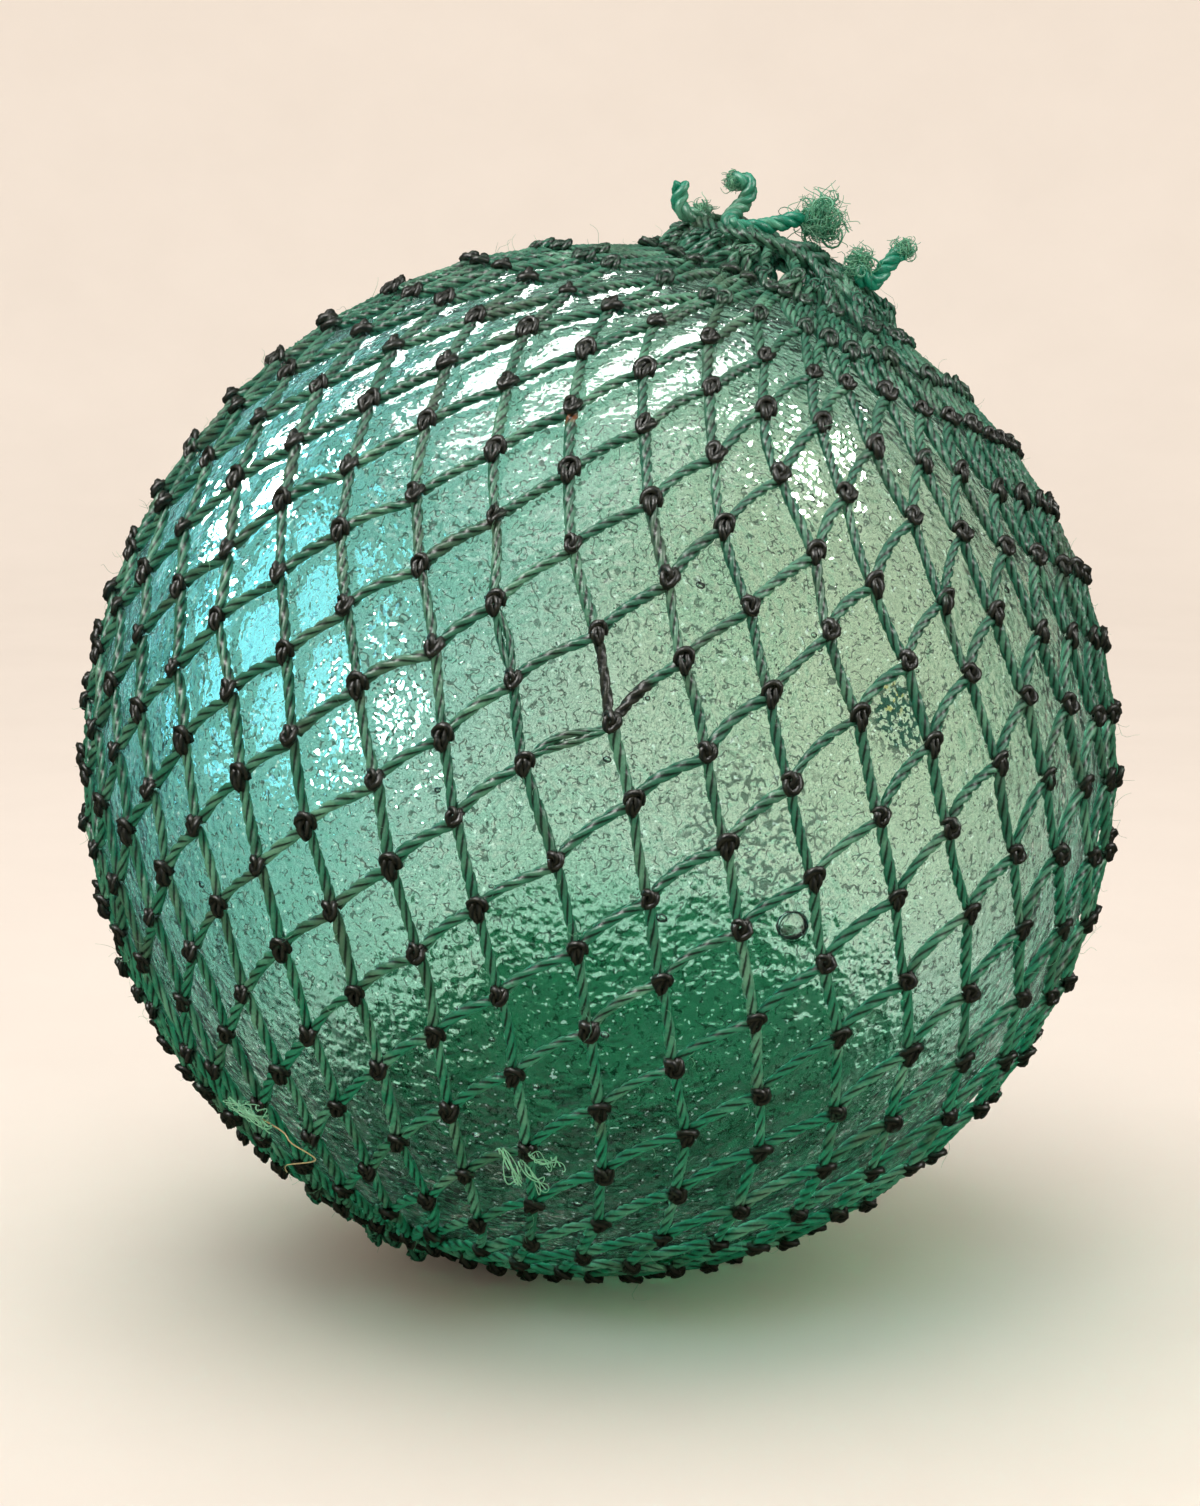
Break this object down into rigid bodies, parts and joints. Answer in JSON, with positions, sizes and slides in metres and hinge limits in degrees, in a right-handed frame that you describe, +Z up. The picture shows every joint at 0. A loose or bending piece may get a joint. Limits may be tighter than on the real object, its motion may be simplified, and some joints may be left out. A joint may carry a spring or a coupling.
{
  "type": "netted glass fishing float",
  "caption": "Round sea-green glass float in a knotted twine net, drawn together and tied off with frayed rope ends at the crown.",
  "frame": {"origin": "on the floor, below the middle of the whole float's bounding box", "axes": "+Z up from the flat that it rests on, +X to the side that the crown leans to, -Y the front"},
  "size_m": [0.3126, 0.3124, 0.3288],
  "materials": {
    "sea_green_glass": "thick hand-blown sea-green glass, pebbled, seedy, with a wavy inside",
    "net_twine": "three-strand laid twine, weathered green, dark brown-green at the knots, fine fuzz",
    "tie_rope": "laid rope, bright green inside, cut ends frayed to pale fibres"
  },
  "bodies": {
    "root": {"glass_ball": "sea_green_glass", "net": "net_twine", "tie_rope_left": "tie_rope", "tie_rope_middle": "tie_rope", "tie_rope_right": "tie_rope"}
  },
  "joints": []
}
